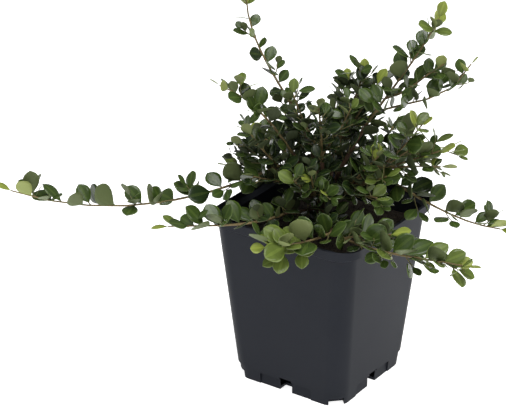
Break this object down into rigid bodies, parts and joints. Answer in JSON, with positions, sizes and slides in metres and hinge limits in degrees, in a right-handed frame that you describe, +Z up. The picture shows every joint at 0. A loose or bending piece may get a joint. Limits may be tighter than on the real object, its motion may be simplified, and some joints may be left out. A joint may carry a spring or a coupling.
{
  "type": "potted shrub",
  "caption": "Young carpet cotoneaster, a low spreading shrub with small round leaves on arching shoots, in a square black plastic nursery pot.",
  "frame": {"origin": "centre of the pot's flat underside, on the ground", "axes": "+Z up along the stem, +X and -Y square to the two pot sides that face the viewer"},
  "size_m": [0.244, 0.1735, 0.214],
  "materials": {
    "pot_plastic": "satin",
    "potting_soil": "matte",
    "old_bark": "matte",
    "young_bark": "matte",
    "foliage": "satin"
  },
  "bodies": {
    "root": {"pot": "pot_plastic", "soil": "potting_soil", "stem": "old_bark", "bough_left_long": "young_bark", "bough_left_low": "young_bark", "bough_front": "young_bark", "bough_right": "young_bark", "bough_upper_right": "young_bark", "bough_tall_left": "young_bark", "bough_upper_left": "young_bark", "bough_right_clump": "young_bark", "bough_crown_left": "young_bark", "bough_crown_front": "young_bark", "bough_crown_top": "young_bark", "bough_crown_right": "young_bark", "bough_crown_back": "young_bark", "bough_back_left": "young_bark", "bough_back": "young_bark", "bough_back_right": "young_bark", "foliage_left_long": "foliage", "foliage_left_low": "foliage", "foliage_front_left": "foliage", "foliage_front_right": "foliage", "foliage_right": "foliage", "foliage_upper_right": "foliage", "foliage_tall_left": "foliage", "foliage_upper_left": "foliage", "foliage_right_clump": "foliage", "foliage_crown_left": "foliage", "foliage_crown_front": "foliage", "foliage_crown_top": "foliage", "foliage_crown_right": "foliage", "foliage_crown_back": "foliage", "foliage_back_left": "foliage", "foliage_back": "foliage", "foliage_back_right": "foliage"}
  },
  "joints": []
}
